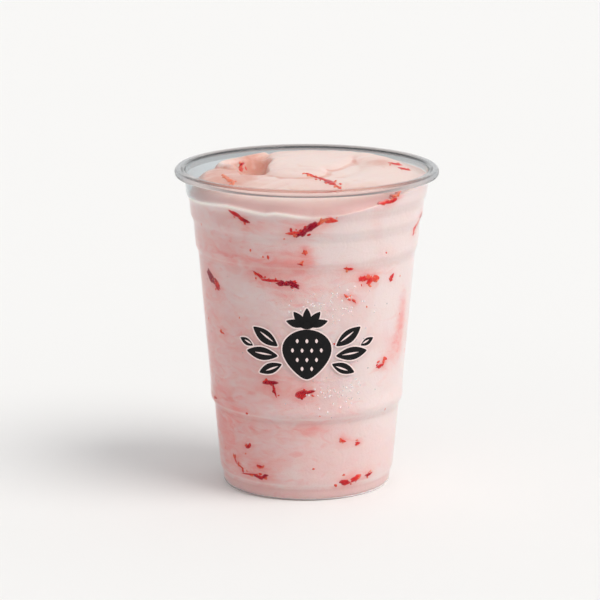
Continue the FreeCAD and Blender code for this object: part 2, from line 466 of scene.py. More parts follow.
def painted_reflection_strength(points):
    """Share of the painted reflection, a cool grey: more above the drink, but not in front, nor on the
    roll's far side, which is seen from behind.
    """
    bearings, radii, heights = polar(points)
    above = rising(-0.5 * MM, heights - contact_height(bearings), 0.5 * MM)
    behind = backness(points)
    far_side = (radii > rim_radius - OUTER_HALF) * rising(0.35, behind, 0.65)
    return above * rising(-0.85, behind, -0.25) * (1 - 0.8 * far_side)


def make_cup():
    under_floor, over_floor = outline[0][1], outline[-1][1]
    in_gap = (outline[:, 0] > rim_radius - ROLL_WIDTH + ROLL_SHEET) & (outline[:, 0] < rim_radius - GAP_SIDE)
    in_gap &= outline[:, 1] < cup_height - GAP_TOP
    profile = finer(outline[~in_gap])
    points = turned_points(profile, CUP_SPOKES)
    middle = len(points)
    points = np.vstack([points, (0, 0, under_floor), (0, 0, over_floor)])
    faces = ring_faces(len(profile), CUP_SPOKES)
    faces += fan_faces(middle, 0, CUP_SPOKES, flip=True)
    faces += fan_faces(middle + 1, middle - CUP_SPOKES, CUP_SPOKES)
    cup = new_piece("cup_sheet", points, faces, clear_plastic(), sharp_angle=35)
    _, radii, heights = polar(points)
    in_roll = (radii > rim_radius - ROLL_WIDTH + 0.1 * MM) & (heights > cup_height - ROLL_DEPTH - 0.2 * MM)
    paint(cup, "roll", 1.0 * in_roll)
    # The grey number is the share of that painted reflection.
    paint(cup, "grey", painted_reflection_strength(points))
    # The ring number holds the roll's rings of painted shade.
    paint(cup, "ring", ring_shade_strength(points))
    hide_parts("cup")


make_cup()


# %% [markdown]
# ## The heap of drink
#
# Thick milkshake is poured in ropes that sink into each other, so its top is a heap of soft folds. The
# CAD model makes them with a height formula: folds are ridges along guide curves, hollows are the
# same turned upside down, and all of it rounds down to the line where the drink meets the wall. The
# same formula is used here on a much finer grid, with small ripples added that CAD leaves out.

# %% Folds and hollows
mouth_radius = rim_radius - ROLL_WIDTH
PEAK_DEPTH = 2.4 * MM
SAG, SAG_BEARING = 4.0 * MM, 240.0
SHOULDER_WIDTH = 6.5 * MM
FOLD_BLEND = 0.22 * MM
RIPPLE_HEIGHT, RIPPLE_WIDTH = 0.10 * MM, 1.5 * MM

# guide points (bearing, share of the mouth's radius), half width, rise at start and end, squareness
FOLDS = {
    "tongue": (((95, 0.94), (98, 0.56), (109, 0.24), (215, 0.11)), 12.0, 1.6, 1.7, 6.0),
    "tongue_right": (((70, 0.90), (72, 0.56), (76, 0.27)), 11.0, 1.6, 1.6, 5.0),
    "right_fold": (((55, 0.86), (30, 0.75), (4, 0.67), (-27, 0.60)), 10.0, 1.7, 0.6, 2.5),
    "front_fold": (
        ((170, 0.80), (192, 0.58), (236, 0.42), (299, 0.50), (333, 0.70), (357, 0.84)), 10.0, 1.0, 0.8, 2.0
    ),
    "curled_lip": (((157, 0.68), (152, 0.81), (143, 0.86), (133, 0.82), (115, 0.85)), 2.4, 1.8, 2.0, 2.0),
}
HOLLOWS = {
    "pocket": (((129, 0.64), (148, 0.53), (181, 0.43)), 5.6, 4.0, 5.5, 4.0),
    "pocket_end": (((146, 0.74), (140, 0.66)), 4.4, 2.0, 4.0, 2.0),
}
print(f"{len(FOLDS)} folds and {len(HOLLOWS)} hollows in a mouth {2 * mouth_radius / MM:.0f} mm across")


# %% Height of the drink's surface
def guide_curve(guides, samples=40):
    """Points along a smooth curve through guide points, by Catmull-Rom pieces."""
    bearings, shares = np.radians([g[0] for g in guides]), np.array([g[1] for g in guides])
    knots = np.stack([np.cos(bearings), np.sin(bearings)], axis=1) * (shares * mouth_radius)[:, None]
    ends = np.vstack([2 * knots[0] - knots[1], knots, 2 * knots[-1] - knots[-2]])
    places = np.linspace(0, len(knots) - 1 - 1e-9, samples)
    piece, t = places.astype(int), (places % 1)[:, None]
    a, b, c, d = (ends[piece + k] for k in range(4))
    return 0.5 * (2 * b + (c - a) * t + (2 * a - 5 * b + 4 * c - d) * t**2 + (3 * b - a - 3 * c + d) * t**3)


def rise_of(shape, x, y):
    """How far a fold stands out at each place, negative beside it."""
    guides, half_width, start_rise, end_rise, squareness = shape
    curve = guide_curve(guides)
    nearest, along = np.full(x.shape, np.inf), np.zeros(x.shape)
    for index, (a, b) in enumerate(zip(curve, curve[1:])):
        run = b - a
        share = np.clip(((x - a[0]) * run[0] + (y - a[1]) * run[1]) / (run @ run), 0, 1)
        gap = np.hypot(x - a[0] - run[0] * share, y - a[1] - run[1] * share)
        closer = gap < nearest
        nearest = np.where(closer, gap, nearest)
        along = np.where(closer, (index + share) / len(curve), along)
    rise = (start_rise + (end_rise - start_rise) * along) * MM
    return rise * (1 - (nearest / (half_width * MM)) ** squareness)


def blended(shapes, x, y):
    """The highest of several shapes, or nought, with soft creases where they meet."""
    rises = [rise_of(shape, x, y) for shape in shapes.values()] + [np.zeros(x.shape)]
    return FOLD_BLEND * np.logaddexp.reduce(np.array(rises) / FOLD_BLEND)


def ripples(x, y):
    """Fine flow lines that run along the folds."""
    across = 0.6 * x - 0.8 * y + 6 * MM * np.sin(x / (13 * MM)) + 4 * MM * np.sin(y / (9 * MM))
    return RIPPLE_HEIGHT * np.sin(across / RIPPLE_WIDTH) * np.cos(x / (11 * MM) + 1.3) ** 2


def heap_height(x, y):
    """Height of the drink's surface at each place."""
    bearings = np.degrees(np.arctan2(y, x))
    contact = contact_height(bearings)
    wall = inside_radius(contact)
    share = np.hypot(x, y) / wall
    sag = SAG * (1 + np.cos(np.radians(bearings - SAG_BEARING))) / 2
    inner = cup_height - PEAK_DEPTH - sag * share**2
    inner += blended(FOLDS, x, y) - blended(HOLLOWS, x, y) + ripples(x, y)
    past = np.clip((share - 1) * wall / SHOULDER_WIDTH + 1, 0, 1.5)
    return contact + (inner - contact) * (1 - past**2)


middle_height = float(heap_height(np.array([0.0]), np.array([0.0]))[0])
print(f"surface {middle_height / MM:.1f} mm up in the middle")


# %% [markdown]
# ## Where the fruit lies
#
# The drink is blended with pieces of strawberry. Those that touch the wall show as dark red flakes,
# some more orange where the flesh is thin, and colour the drink round them. The list names the
# large pieces on the front by bearing (-90 is the front), height, length, width, tilt and tone, from 0
# for dark skin to 1 for pale flesh. Smaller ones and the back are scattered by a seeded generator.

# %% List of fruit pieces against the wall
# bearing, height, length and width in mm, tilt in degrees, bend, tone
WALL_FRUIT = [
    (-124, 108.3, 7.4, 1.7, -29, 0.1, 0.28), (-96, 103.6, 4.6, 1.3, 10, 0.1, 0.55),
    (-90, 104.8, 8, 2.6, 24, -0.1, 0), (-81, 108, 7, 1.9, 17, 0.05, 0.72),
    (-48, 113.2, 6.4, 1.7, 3, 0.1, 0.5), (-43, 115, 2.6, 0.7, 28, 0.1, 0.9),
    (-18, 99.6, 6.4, 2.4, 32, 0.25, 0.5), (-13, 103.4, 3, 2, 50, 0, 0.3),
    (-153, 82.2, 4.4, 3.8, -50, 0, 0.15), (-147, 79.8, 3.6, 2.8, -50, 0, 0.35),
    (-116, 86.4, 3, 1.8, -22, 0.15, 0.2), (-109, 84.9, 4.6, 1.4, -6, -0.1, 0.35),
    (-100, 83.8, 7.4, 2.4, -12, 0.1, 0.05), (-91, 96.2, 1.7, 1.1, -57, 0, 0.5),
    (-93, 91.8, 1.5, 0.8, -47, 0, 0.45), (-68, 89.3, 2.6, 1.2, -15, 0, 0.6),
    (-59, 84.8, 3.4, 2.4, -10, 0.2, 0.3), (-53, 84.4, 5.4, 3.2, 10, -0.1, 0.55),
    (-39, 83.4, 2.4, 1.8, 50, 0, 0.4), (-68, 78.4, 2.8, 1.2, -12, 0, 0.6),
    (-64, 77, 1.6, 0.9, -42, 0, 0.5), (-145, 61.9, 1.8, 1, -10, 0, 0.6),
    (-43, 50.2, 3, 1.6, -14, 0.1, 0.3), (-40, 51.6, 2.6, 1.5, 60, 0.1, 0.35),
    (-112, 46.4, 3.6, 2.6, 20, 0.1, 0.15), (-109, 43.4, 3.6, 1.4, -64, 0, 0.2),
    (-93, 42.2, 3.8, 2.8, 10, 0.15, 0.15), (-88, 43, 2.6, 1.4, 20, 0, 0.25),
    (-161, 34.6, 3, 1, 14, 0, 0.35), (-67, 23.3, 1.8, 1.4, -6, 0, 0.45),
    (-56, 21.6, 1.6, 1.2, -10, 0, 0.5), (-130, 19.6, 2.6, 1.4, 10, 0, 0.1),
    (-144, 13.2, 2.4, 0.9, -50, 0, 0.35), (-139, 10.6, 3.2, 0.7, -35, 0, 0.45),
    (-131, 8.7, 4, 0.8, -12, 0.1, 0.4), (-121, 8.6, 5, 1.7, 6, 0.1, 0.25),
    (-122, 12.4, 1.6, 1.2, 0, 0, 0.4), (-64, 6.6, 3.6, 2.2, 10, 0, 0.4),
    (-56, 7.6, 3.4, 2, 25, 0, 0.35), (-45, 8.2, 2.8, 1.6, 10, 0, 0.45),
]
BACK_FRUIT = 34
SPECKS = 56
random = np.random.default_rng(7)


def back_fruit():
    """Pieces like the listed ones, on the part of the wall that the list leaves out."""
    made = []
    for k in range(BACK_FRUIT):
        bearing = 5 + 180 * (k + random.uniform(0, 0.9)) / BACK_FRUIT
        height = random.uniform(8, 106)
        length = random.uniform(3, 10)
        tilt, bend, tone = random.uniform(-60, 60), random.uniform(-0.2, 0.2), random.uniform(0, 0.6)
        made.append((bearing, height, length, length * random.uniform(0.28, 0.5), tilt, bend, tone))
    return made


wall_fruit = WALL_FRUIT + back_fruit()
print(f"{len(wall_fruit)} pieces of fruit against the wall")


# %% [markdown]
# Round the fruit the drink is stained pink, and there are pinker clouds where pulp was stirred in. Some
# clouds are painted shade instead: one along the left edge of the side, one in the band just below the
# contact line on the left front and two in the pocket of the heap, and the heap's creases get painted shade
# mixed with pulp. One number at each point of the drink, from 0 for plain cream to 1 for pulp or the deepest
# painted shade, is enough: the finish turns it into colour. It is worked out from the distance to each piece
# and each cloud, along the wall.

# %% Pulp clouds and stains
# bearing, height, reach along the wall and up it in mm, strength
# Two clouds are painted shade, not pulp: (-170, 50) along the left edge and (-120, 106) in the band below
# the contact line.
SIDE_PULP_AND_SHADE = [
    (-130, 95, 20, 7, 0.5), (-112, 89, 18, 5, 0.62), (-96, 92, 6, 7, 0.5),
    (-91, 95.8, 2.6, 1.8, 0.7), (-90, 91.6, 3.4, 1.8, 0.6), (-100, 79.5, 9, 4, 0.4),
    (-86, 82.5, 7, 5, 0.25), (-152, 22, 8, 12, 0.45), (-148, 92, 8, 6, 0.22),
    (-170, 50, 14, 60, 0.6), (-135, 45, 28, 44, 0.34), (-84, 62, 20, 26, 0.16),
    (-120, 106, 22, 4, 0.45), (-108, 20, 34, 22, 0.3), (-70, 88, 10, 4, 0.3),
    (-134, 92.5, 10, 0.9, 0.6), (-108, 92.2, 9, 0.8, 0.6), (-98, 90, 6, 0.9, 0.55),
    (-106, 95.6, 8, 1, 0.4), (-24, 64, 4, 12, 0.85), (-32, 55, 5, 8, 0.55),
    (-140, 64, 14, 14, 0.3), (-112, 62, 12, 16, 0.2), (-152, 38.5, 5, 1.4, 0.9),
    (-143, 36.5, 4, 1.4, 0.9), (-136, 33.5, 4, 1.3, 0.8), (-140, 30, 14, 8, 0.35),
    (-89, 28.5, 6, 3, 0.65), (-110, 44, 12, 5, 0.35), (-70, 34, 16, 8, 0.08),
    (-130, 12, 14, 8, 0.45), (-60, 12, 14, 6, 0.1), (40, 70, 22, 16, 0.45),
    (95, 45, 24, 12, 0.5), (150, 84, 20, 10, 0.5), (120, 20, 18, 8, 0.45),
]


# x, y, reach across and along in mm, turn in degrees, strength
# The two patches at x = -20 lie in the pocket of the heap and are painted shade; the others are pulp.
TOP_PULP_AND_SHADE = [
    (-29, -9, 15, 14, 20, 0.9), (-31, 6, 8, 8, 0, 0.45), (-20, 12, 6, 12, -5, 0.9),
    (-20, 24, 6, 10, -15, 0.95), (27, 15, 6, 7, 0, 0.85), (8, -20, 9, 5, -40, 0.35),
    (2, -3, 14, 2, -8, 0.3), (36, 8, 6, 6, 0, 0.3), (-6, -30, 22, 6, 0, 0.35),
]


# %% Share of pulp and of shade at each point
STAIN_STRENGTH = 0.5
CREASE_REACH, CREASE_DEPTH, CREASE_SHADE_AND_PULP_SHARE = 1.2 * MM, 0.22 * MM, 0.55
CREASE_RADIUS = 0.86 * mouth_radius
SHOULDER_SHADE = 0.85


def stain(along, up, reach, rise, tilt):
    """1 in the middle of an oval patch, fading to 0 round it."""
    along, up = turned(along, up, -tilt)
    return np.exp(-((along / reach) ** 2 + (up / rise) ** 2))


def crease_at(points):
    """1 where the heap lies lower than the drink close round it, 0 where it is even or raised."""
    x, y, reach = points[:, 0], points[:, 1], CREASE_REACH
    sides = ((reach, 0), (-reach, 0), (0, reach), (0, -reach))
    around = sum(heap_height(x + dx, y + dy) for dx, dy in sides)
    return rising(0, around - 4 * heap_height(x, y), CREASE_DEPTH)


def pulp_and_shade_at(points):
    """Share of fruit pulp at each point of the drink, with painted shade added in the heap's creases and
    pocket, along the left edge and below the contact line on the left front.
    """
    bearings, radii, heights = polar(points)
    clear = np.ones(len(points))
    patches = [cloud + (0.0,) for cloud in SIDE_PULP_AND_SHADE]
    for bearing, height, length, width, tilt, _, _ in wall_fruit:
        patches.append((bearing, height, 0.75 * length + 1.5, 0.9 * width + 1.2, STAIN_STRENGTH, tilt))
    for bearing, height, reach, rise, strength, tilt in patches:
        along = np.radians(bearing_gap(bearings, bearing)) * radii / MM
        clear *= 1 - strength * stain(along, heights / MM - height, reach, rise, tilt)
    on_top = (heights > 0.5 * cup_height) & (radii < inside_radius(heights) - 0.3 * MM)
    for x, y, wide, deep, tilt, strength in TOP_PULP_AND_SHADE:
        across, along = points[:, 0] / MM - x, points[:, 1] / MM - y
        clear *= 1 - on_top * strength * stain(across, along, wide, deep, tilt)
    # Painted shade, mixed with settled pulp, in the creases of the heap.
    clear *= 1 - CREASE_SHADE_AND_PULP_SHARE * crease_at(points) * on_top * (radii < CREASE_RADIUS)
    return 1 - clear


def shade_at(points):
    """The roll and the doubled sheet dim the shoulder of the heap in front, just above the contact line."""
    bearings, radii, heights = polar(points)
    on_top = heights > contact_height(bearings) + 0.1 * MM
    shoulder = rising(0.86, radii / inside_radius(heights), 0.94) * on_top
    return SHOULDER_SHADE * shoulder * np.clip(-1.4 * backness(points), 0, 1)


print(f"{len(SIDE_PULP_AND_SHADE)} clouds in the side of the drink and {len(TOP_PULP_AND_SHADE)} in its top")


# %% [markdown]
# ## Finish of the drink
#
# Milkshake is an opaque, very pale pink cream with soft light inside it. Its colour is never even: broad
# cloudy changes, thin marbled streaks where fruit was stirred through, and the stains above, which also
# carry painted shade in places. The shoulder in front gets painted shade, and a thin line of painted light
# lies just above each ledge.
# The open top is wet and a little glossy. Where the drink lies against the plastic it has no gloss of
# its own, because no air is between them, so the side is the same recipe without a highlight.

# %% Recipe for the drink
CREAM = colour(0.745, 0.635, 0.615)
CREAM_TOP = colour(0.77, 0.59, 0.53)
CREAM_PINK = colour(0.735, 0.53, 0.51)
TOP_PINK = colour(0.78, 0.56, 0.50)
SHADED_PINK = colour(0.56, 0.32, 0.30)
PULP = colour(0.75, 0.32, 0.295)
PEACH = colour(0.64, 0.30, 0.23)
FOAM = colour(0.93, 0.86, 0.80)
LEDGE_LIGHT_PINK = colour(0.80, 0.68, 0.65)
FOOT_PINK = colour(0.70, 0.39, 0.37)
FOOT_SHADE = 4.2 * MM


def drink_colour(drink, wet):
    cloudy = drink.clamp(0.42, drink.noise(26 * MM, 2, 0.6), 0.62)
    body = drink.blend(0.15 + 0.5 * cloudy, CREAM_TOP if wet else CREAM, TOP_PINK if wet else CREAM_PINK)
    streaks = drink.clamp(0.54, drink.noise(11 * MM, 4, 2.2, seed=3.1, flat=2.2), 0.70)
    patchy = drink.noise(8 * MM, 4, 1.3, seed=8.4, flat=2.4)
    # The pulp number also carries painted shade in creases, in the pocket and in two clouds.
    pulp = drink.painted("pulp") * (1.4 * patchy + 0.25) + 0.20 * streaks
    stained = drink.blend(drink.clamp(0.05, pulp, 1.0), body, PEACH if wet else PULP)
    # Painted light: a thin lighter line just above each ledge.
    ledge_light_line = 0.22 * drink.lines([ledge + 0.4 * MM for ledge in LEDGES], 0.8 * MM)
    foot = drink.clamp(FOOT_SHADE + 1 * MM, drink.height(), FOOT_SHADE)
    shaded = drink.blend(drink.painted("shade"), stained, SHADED_PINK)
    lined = drink.blend(ledge_light_line, shaded, LEDGE_LIGHT_PINK)
    foamy = drink.blend(drink.painted("foam"), lined, FOAM)
    return drink.blend(0.45 * foot, foamy, FOOT_PINK)


def drink_finish(name, wet):
    drink = Recipe(name)
    bubbles = drink.noise(0.9 * MM, 3) + 2.5 * drink.noise(4.5 * MM, 2, 1.5, seed=1.7)
    relief = drink.node("ShaderNodeBump", None, {"Strength": 0.22, "Distance": 0.25 * MM, "Height": bubbles})
    sockets = {
        "Base Color": drink_colour(drink, wet),
        "Roughness": 0.32 if wet else 0.6,
        "Specular IOR Level": 0.5 if wet else 0.0,
        "IOR": 1.36,
        "Subsurface Weight": 0.25,
        "Subsurface Scale": 1.5 * MM,
        "Normal": relief,
    }
    return drink.finish(drink.node("ShaderNodeBsdfPrincipled", None, sockets))


# %% [markdown]
# ## The body of the drink
#
# The drink's mesh is a stack of rings. The top rings follow the heap's height formula, the next ones
# follow the wall's inside down to the foot, and the last ones the floor. Where it meets the plastic it
# reaches a tenth of a millimetre into the sheet, because a mesh that only touched it would leave
# a film of air that shines like a mirror.

# %% Make the drink
DRINK_SPOKES = 360
TOP_RINGS = 116
SIDE_RINGS = 104
WALL_BITE = 0.1 * MM


def drink_rings():
    """Rows of points from the middle of the top, out over the heap and down the wall."""
    bearings = np.arange(DRINK_SPOKES) * (360 / DRINK_SPOKES)
    cos, sin = np.cos(np.radians(bearings)), np.sin(np.radians(bearings))
    contact = contact_height(bearings)
    edge = inside_radius(contact)
    rows = []
    for ring in range(1, TOP_RINGS + 1):
        radius = edge * ring / TOP_RINGS
        height = heap_height(radius * cos, radius * sin)
        bitten = radius + (WALL_BITE if ring == TOP_RINGS else 0)
        rows.append(np.column_stack([bitten * cos, bitten * sin, height]))
    foot = inside_table[0][0]
    for ring in range(1, SIDE_RINGS + 1):
        height = contact + (foot - contact) * (ring / SIDE_RINGS) ** 1.25
        radius = inside_radius(height) + WALL_BITE
        rows.append(np.column_stack([radius * cos, radius * sin, height]))
    return rows


def floor_rows():
    """The floor's outline from the foot of the wall in to the raised middle, a bite into the sheet."""
    inner = outline[top:]
    foot = int(np.argmax(inner[:, 1] <= inside_table[0][0])) + 1
    return [(radius, height - WALL_BITE) for radius, height in inner[foot:]]


def make_drink():
    rows = drink_rings()
    rows.append(turned_points(floor_rows(), DRINK_SPOKES))
    centre_top = heap_height(np.array([0.0]), np.array([0.0]))[0]
    points = np.vstack(rows + [(0, 0, centre_top), (0, 0, outline[-1][1] - WALL_BITE)])
    ring_count = (len(points) - 2) // DRINK_SPOKES
    faces = [face[::-1] for face in ring_faces(ring_count, DRINK_SPOKES)]
    faces += fan_faces(len(points) - 2, 0, DRINK_SPOKES)
    faces += fan_faces(len(points) - 1, (ring_count - 1) * DRINK_SPOKES, DRINK_SPOKES, flip=True)
    drink = new_piece("milkshake_body", points, faces, drink_finish("milkshake_top", True))
    drink.data.materials.append(drink_finish("milkshake_side", False))
    side_start = (TOP_RINGS - 1) * DRINK_SPOKES
    side = [int(min(face.vertices) >= side_start) for face in drink.data.polygons]
    side[-2 * DRINK_SPOKES:-DRINK_SPOKES] = [0] * DRINK_SPOKES
    drink.data.polygons.foreach_set("material_index", side)
    # The pulp number is fruit pulp together with painted shade.
    paint(drink, "pulp", pulp_and_shade_at(points))
    paint(drink, "shade", shade_at(points))
    paint(drink, "foam", foam_at(points))
    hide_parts("milkshake")


# %% [markdown]
# Where the drink meets the wall on the left, a line of pale foam clings to the plastic. It is one more
# number at the points: high within a millimetre below the contact line, and only on that side.

# %% Foam line, and make the drink
FOAM_BEARING, FOAM_HALF_WIDTH, FOAM_FADE = 228.0, 52.0, 15.0
FOAM_DEPTH, FOAM_WIDTH = 0.60 * MM, 1.5 * MM


def foam_at(points):
    """Share of foam at each point of the drink."""
    bearings, radii, heights = polar(points)
    turn = np.abs(bearing_gap(bearings, FOAM_BEARING))
    side = 1 - rising(FOAM_HALF_WIDTH - FOAM_FADE, turn, FOAM_HALF_WIDTH)
    below = np.abs(heights - contact_height(bearings) + 0.5 * FOAM_DEPTH) / FOAM_DEPTH
    near_wall = radii > inside_radius(heights) - FOAM_WIDTH
    return side * near_wall * np.exp(-below**2)


make_drink()


# %% [markdown]
# ## Fruit pieces
#
# A piece of blended strawberry is an irregular flake. Each is a small closed shell: a disc of rings
# whose outline is jagged by a few random waves, domed so that its middle bites into the plastic
# sheet and its edge sinks into the drink. One function lays a flake on the wall, another on the heap.

# %% Shape of one flake
FLAKE_RINGS, FLAKE_SPOKES = 4, 20
FLAKE_DEPTH = 1.2 * MM


def flake(length, width, ragged=0.22):
    """Local points (along, across, share of the way out) of one flake."""
    angles = np.arange(FLAKE_SPOKES) * (2 * math.pi / FLAKE_SPOKES)
    jagged = np.ones(FLAKE_SPOKES)
    for lobes in (2, 3, 5, 7, 9):
        jagged += ragged * random.normal() / lobes**0.6 * np.cos(lobes * angles + random.uniform(0, 6.3))
    jagged = np.clip(jagged, 0.45, 1.5)
    rows = []
    for ring in range(1, FLAKE_RINGS + 1):
        share = ring / FLAKE_RINGS
        along = share * jagged * np.cos(angles) * length / 2
        across = share * jagged * np.sin(angles) * width / 2
        rows.append(np.column_stack([along, across, np.full(FLAKE_SPOKES, share)]))
    return np.vstack([(0, 0, 0)] + rows)


def flake_shell():
    """Faces of a flake's front and back sheets and the rim between them."""
    count = FLAKE_RINGS * FLAKE_SPOKES + 1
    front = fan_faces(0, 1, FLAKE_SPOKES) + [f[::-1] for f in ring_faces(FLAKE_RINGS, FLAKE_SPOKES, 1)]
    back = [tuple(v + count for v in face[::-1]) for face in front]
    last = 1 + (FLAKE_RINGS - 1) * FLAKE_SPOKES
    rim = []
    for k in range(FLAKE_SPOKES):
        a, b = last + k, last + (k + 1) % FLAKE_SPOKES
        rim.append((a, a + count, b + count, b))
    return front + back + rim


def on_wall(local, bearing, height, tilt, lift, sink):
    """Front and back sheet of a flake that lies against the wall."""
    along, up = turned(local[:, 0], local[:, 1], tilt)
    heights = np.clip(height * MM + up, 1.4 * MM, cup_height - 3 * MM)
    base = inside_radius(heights)
    angles = math.radians(bearing) + along / inside_radius(height * MM)
    face = base + lift - (lift + sink) * local[:, 2] ** 3
    sheets = []
    for radius in (face, base - sink - FLAKE_DEPTH):
        sheets.append(np.column_stack([radius * np.cos(angles), radius * np.sin(angles), heights]))
    return np.vstack(sheets)


# %% [markdown]
# ## Finish of the fruit
#
# Strawberry flesh is glossy only when wet and in the open. Its colour runs from a dark crimson skin to
# orange-red flesh, and it goes pale pink at a flake's thin edge, where the drink shows through.

# %% Finish of the fruit
SKIN = colour(0.28, 0.002, 0.020)
FLESH = colour(0.68, 0.030, 0.030)
PALE_FLESH = colour(0.78, 0.20, 0.10)


def fruit_finish(name, wet):
    fruit = Recipe(name)
    grain = fruit.noise(1.6 * MM, 3, 0.8)
    tone = fruit.painted("tone") + 0.9 * (grain - 0.5)
    ripe = fruit.blend(fruit.clamp(0.0, tone, 0.5), SKIN, FLESH)
    fleshy = fruit.blend(fruit.clamp(0.45, tone, 1.0), ripe, PALE_FLESH)
    veiled = fruit.blend(0.7 * fruit.painted("edge"), fleshy, PULP)
    relief = fruit.node("ShaderNodeBump", None, {"Strength": 0.3, "Distance": 0.3 * MM, "Height": grain})
    sockets = {
        "Base Color": veiled,
        "Roughness": 0.28 if wet else 0.6,
        "Specular IOR Level": 0.22 if wet else 0.0,
        "Subsurface Weight": 0.15,
        "Subsurface Scale": 0.8 * MM,
        "Normal": relief,
    }
    return fruit.finish(fruit.node("ShaderNodeBsdfPrincipled", None, sockets))


# %% [markdown]
# ## Laying the fruit
#
# One flake alone looks like a petal. A real piece is ragged and has crumbs round it, so each piece in
# the list becomes a short chain of overlapping flakes along a slightly bent line, with crumbs scattered
# round it. All flakes are joined into one mesh, with their tone and thin edge stored at the points.

# %% Lay the fruit against the wall
CHAIN_STEP, CRUMB_STEP = 3.2, 1.5
FLAKE_LIFT, SPECK_LIFT, FLAKE_SINK = 0.34 * MM, 0.7 * 0.34 * MM, 0.12 * MM


def fruit_piece(name, flakes, tones, wet):
    """One mesh of flakes, with the share of the way to the edge and the tone at each point."""
    points, faces = joined(flakes, flake_shell())
    piece = new_piece(name, points, faces, fruit_finish(name + "_finish", wet))
    way_out = np.repeat(np.arange(1, FLAKE_RINGS + 1) / FLAKE_RINGS, FLAKE_SPOKES)
    way_out = np.concatenate([[0.0], way_out])
    paint(piece, "edge", np.tile(rising(0.55, way_out, 1.0) ** 1.5, 2 * len(flakes)))
    paint(piece, "tone", np.repeat(tones, 2 * len(way_out)))


def bits_of(length, width, bend, tone):
    """A piece as flakes and crumbs, each (along, across, length, width, tilt, tone)."""
    count = max(1, round(length / CHAIN_STEP))
    bits = []
    for k in range(count):
        along = length * ((k + 0.5) / count - 0.5)
        across = bend * along**2 / (length / 2) + random.normal() * 0.10 * width
        wide, tilt = width * random.uniform(0.9, 1.4), random.normal() * 14
        bits.append((along, across, 1.8 * length / count, wide, tilt, tone + random.normal() * 0.10))
    for _ in range(2 + int(length / CRUMB_STEP)):
        along, across = random.normal() * 0.36 * length, random.normal() * 0.45 * width
        size, tilt = random.uniform(0.5, 1.4), random.uniform(-90, 90)
        bits.append((along, across, size * 1.5, size, tilt, tone + random.uniform(0.1, 0.5)))
    return bits


def laid_bits(piece, lay):
    """Flakes of one piece, laid by the given function, and their tones."""
    first, second, length, width, tilt, bend, tone = piece
    flakes, tones = [], []
    for along, across, long, wide, turn, bit_tone in bits_of(length, width, bend, tone):
        right, up = turned(along, across, tilt)
        flakes.append(lay(flake(long * MM, wide * MM), first, second, right, up, tilt + turn))
        tones.append(min(1.0, max(0.0, bit_tone)))
    return flakes, tones


def fruit_from(name, pieces, lay, wet):
    """One mesh of all the given pieces, each laid by the given function."""
    flakes, tones = [], []
    for piece in pieces:
        more, more_tones = laid_bits(piece, lay)
        flakes += more
        tones += more_tones
    fruit_piece(name, flakes, tones, wet)


def lay_on_wall(local, bearing, height, right, up, tilt):
    turn = math.degrees(right * MM / inside_radius(height * MM))
    return on_wall(local, bearing + turn, height + up, tilt, FLAKE_LIFT, FLAKE_SINK)


def make_specks():
    """Crumbs of fruit all over the side."""
    flakes, tones = [], []
    for _ in range(SPECKS):
        size = random.uniform(0.5, 1.5) * MM
        bearing, height = random.uniform(-180, 180), random.uniform(5, 104)
        body = flake(size * 1.5, size)
        flakes.append(on_wall(body, bearing, height, random.uniform(-90, 90), SPECK_LIFT, FLAKE_SINK))
        tones.append(random.uniform(0.55, 1.0))
    fruit_piece("strawberry_specks", flakes, tones, wet=False)


fruit_from("strawberry_at_wall", wall_fruit, lay_on_wall, wet=False)
make_specks()


# %% [markdown]
# ## Fruit on the heap
#
# The flakes on top are laid the same way, but on the height formula: the flake's front sheet follows
# the surface a little above it, and its back sheet lies below, out of sight.

# %% Lay fruit on the heap
TOP_LIFT, TOP_SINK = 0.35 * MM, 0.2 * MM

# x, y, length and width in mm, turn in degrees, bend, tone
TOP_FRUIT = [
    (-30, -5.5, 6.5, 1.3, -76, 0.05, 1.05), (-28, -11.8, 7.5, 1.8, -72, 0.05, 0.95),
    (2.6, -11.4, 7, 1.3, -30, 0.1, 0.62), (6.6, -16.4, 5, 2.4, -48, 0.05, 0.45),
    (8.6, -20.5, 5, 3.2, -58, 0.05, 0.38), (11.4, -25.6, 4.4, 1.6, -58, 0, 0.6),
    (33.6, 13, 4, 2.4, -40, 0, 0.45), (36.2, 5.4, 3.8, 2.2, -50, 0, 0.42),
    (-25, 22, 5, 1.2, 60, 0.1, 0.4),
]


def on_heap(local, x, y, turn, lift, sink):
    """Front and back sheet of a flake that lies on the heap."""
    along, across = turned(local[:, 0], local[:, 1], turn)
    px, py = x * MM + along, y * MM + across
    surface = heap_height(px, py)
    face = surface + lift - (lift + sink) * local[:, 2] ** 3
    return np.vstack([np.column_stack([px, py, z]) for z in (face, surface - sink - FLAKE_DEPTH)])


def lay_on_heap(local, x, y, right, up, turn):
    return on_heap(local, x + right, y + up, turn, TOP_LIFT, TOP_SINK)


fruit_from("strawberry_on_top", TOP_FRUIT, lay_on_heap, wet=True)


# %% [markdown]
# ## The print
#
# Such cups carry a plain black print on the front. This one is a generic strawberry between leaves, with
# a pale line round every shape. Flat artwork is easiest to draw as closed 2D curves, which Blender
# fills, holes and all. Each filled shape becomes a mesh, is cut into narrow upright strips and is then
# wrapped round the wall: the pale layer first, and the black one just outside it.

# %% Draw the print flat
PRINT_HEIGHT = 60.0 * MM
INK_THICKNESS = 0.03 * MM
PALE_MARGIN = 0.5
PALE_LIFT, BLACK_LIFT = 0.02 * MM, 0.06 * MM
STRIP = 1.2 * MM
